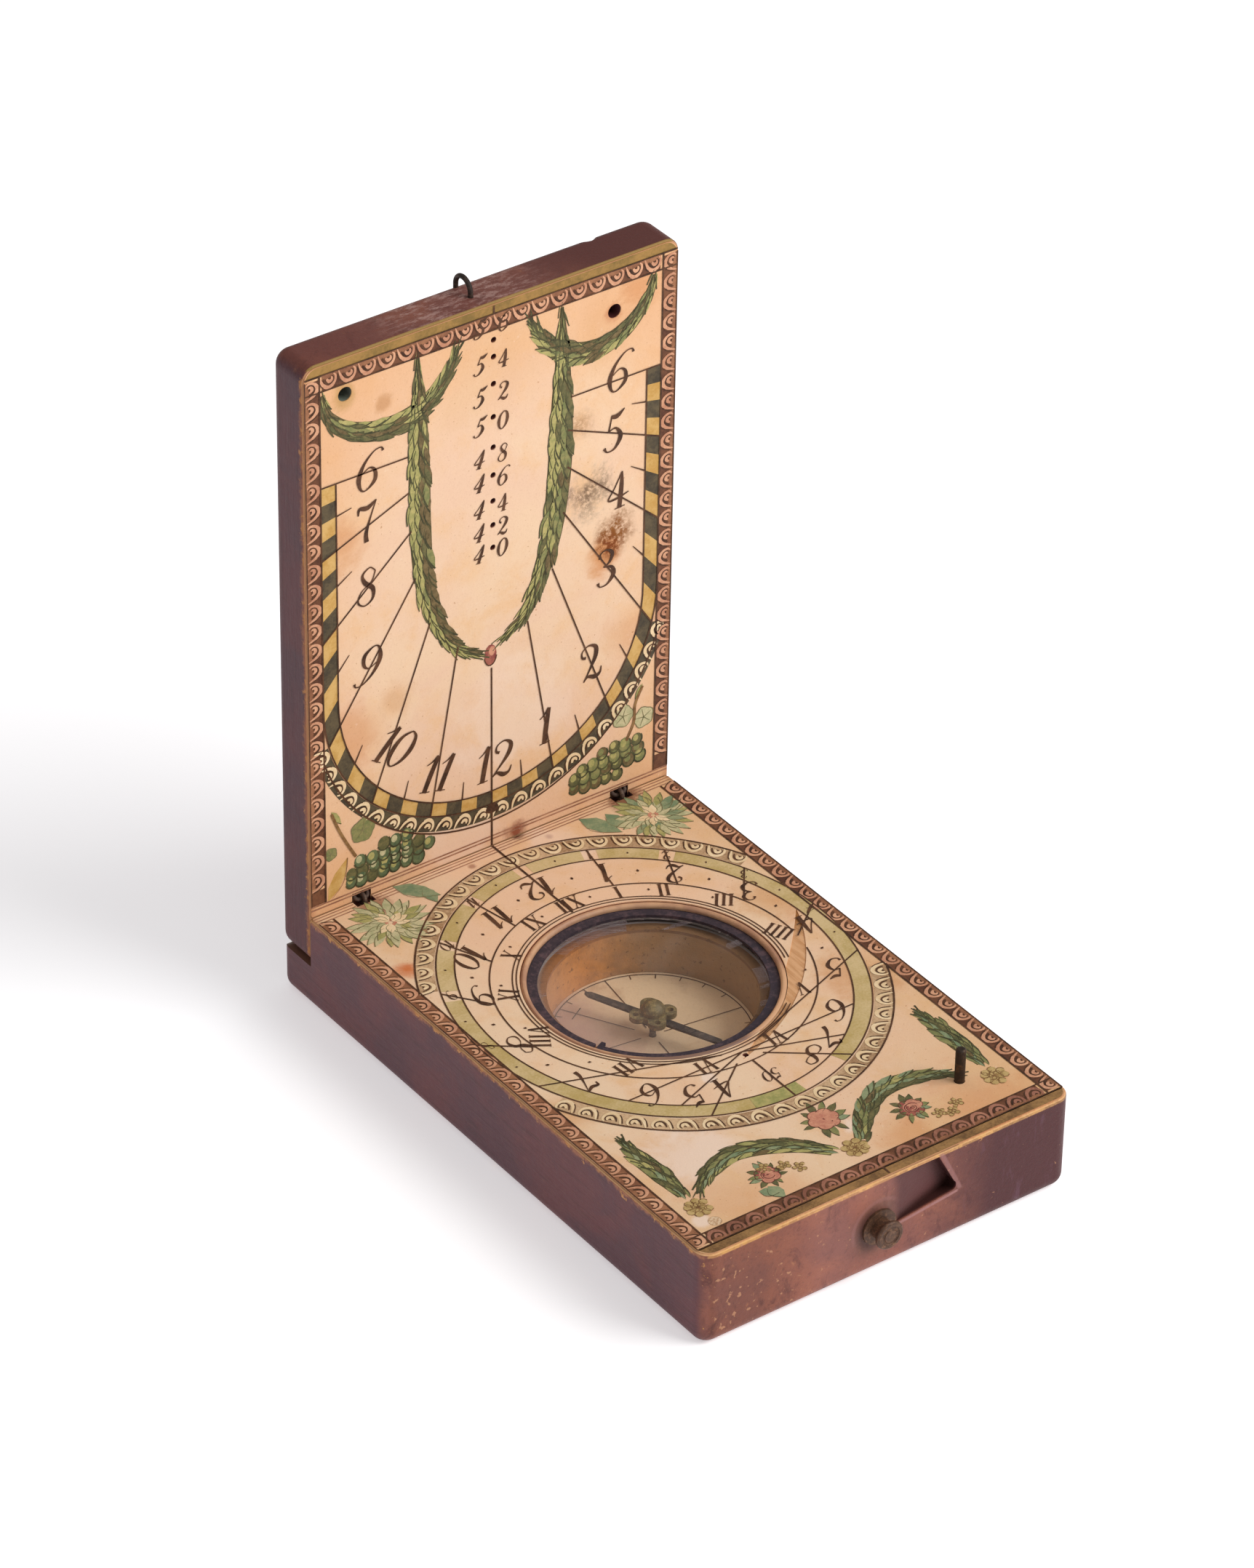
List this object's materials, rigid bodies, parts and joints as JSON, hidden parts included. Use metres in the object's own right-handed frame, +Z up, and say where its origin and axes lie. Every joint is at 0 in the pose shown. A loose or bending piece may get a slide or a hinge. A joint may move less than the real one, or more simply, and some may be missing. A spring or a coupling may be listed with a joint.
{
  "type": "diptych sundial",
  "caption": "Folding pocket sundial: a wooden base leaf with a glazed compass and a hinged lid leaf, both faced with printed paper dials.",
  "frame": {"origin": "middle of the base's underside", "axes": "+Z up from the surface that the base lies on, +Y from the front towards the hinge and the standing lid, +X to the right"},
  "size_m": [0.068, 0.1122, 0.1176],
  "materials": {
    "painted_wood": "thin dark plum paint, worn at the edges",
    "dial_paper": "aged printed and hand-coloured paper",
    "bare_wood": "bare turned wood",
    "blackened_brass": "blackened",
    "glass": "clear",
    "card_paper": "aged printed card",
    "steel": "blued and dulled",
    "old_brass": "dull, brown with age",
    "iron_wire": "dark with age",
    "pale_wood": "bare"
  },
  "bodies": {
    "base": {"base_leaf": "painted_wood", "horizontal_dial_paper": "dial_paper", "well_bead": "bare_wood", "glass_ring": "blackened_brass", "compass_glass": "glass", "compass_card": "card_paper", "compass_pivot": "steel", "locating_peg": "iron_wire", "peg_plug": "pale_wood", "latch_stud": "old_brass", "hinge_eye_left": "iron_wire", "hinge_eye_right": "iron_wire"},
    "lid": {"lid_leaf": "painted_wood", "vertical_dial_paper": "dial_paper", "hinge_staple_left": "iron_wire", "hinge_staple_right": "iron_wire", "lid_eye": "iron_wire"},
    "needle": {"compass_needle": "steel", "needle_cap": "old_brass"}
  },
  "joints": [
    {"name": "lid_hinge", "type": "hinge", "parent": "base", "child": "lid", "pos_m": [0, 0.0462, 0.017], "axis": [1, 0, 0], "range_deg": [0, 90]},
    {"name": "needle_spin", "type": "hinge", "parent": "base", "child": "needle", "pos_m": [0, 0.0039, 0.0119], "axis": [0, 0, 1], "continuous": true}
  ]
}
